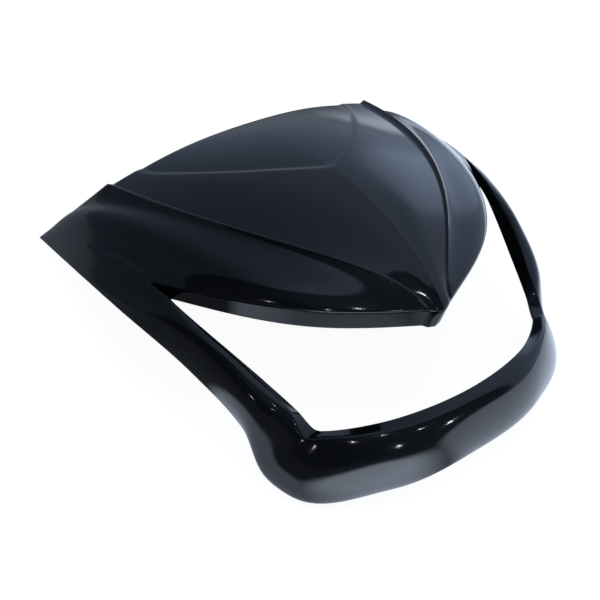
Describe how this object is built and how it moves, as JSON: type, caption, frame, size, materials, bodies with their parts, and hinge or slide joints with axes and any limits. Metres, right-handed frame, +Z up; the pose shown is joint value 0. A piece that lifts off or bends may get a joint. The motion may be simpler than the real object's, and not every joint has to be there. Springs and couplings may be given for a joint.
{
  "type": "headlight cowl",
  "caption": "Moulded gloss shell with a creased hood, side arms and a bulged lip round a smile-shaped lamp opening.",
  "frame": {"origin": "on the table, under the middle of the bounding box", "axes": "+X across the cowl towards the right side as seen from the front, +Y from the lip back to the rear corners, +Z up from the table"},
  "size_m": [0.297, 0.3082, 0.1138],
  "materials": {
    "gloss_black_plastic": "polished mould surface with fine dust marks"
  },
  "bodies": {
    "root": {"headlight_cowl": "gloss_black_plastic"}
  },
  "joints": []
}
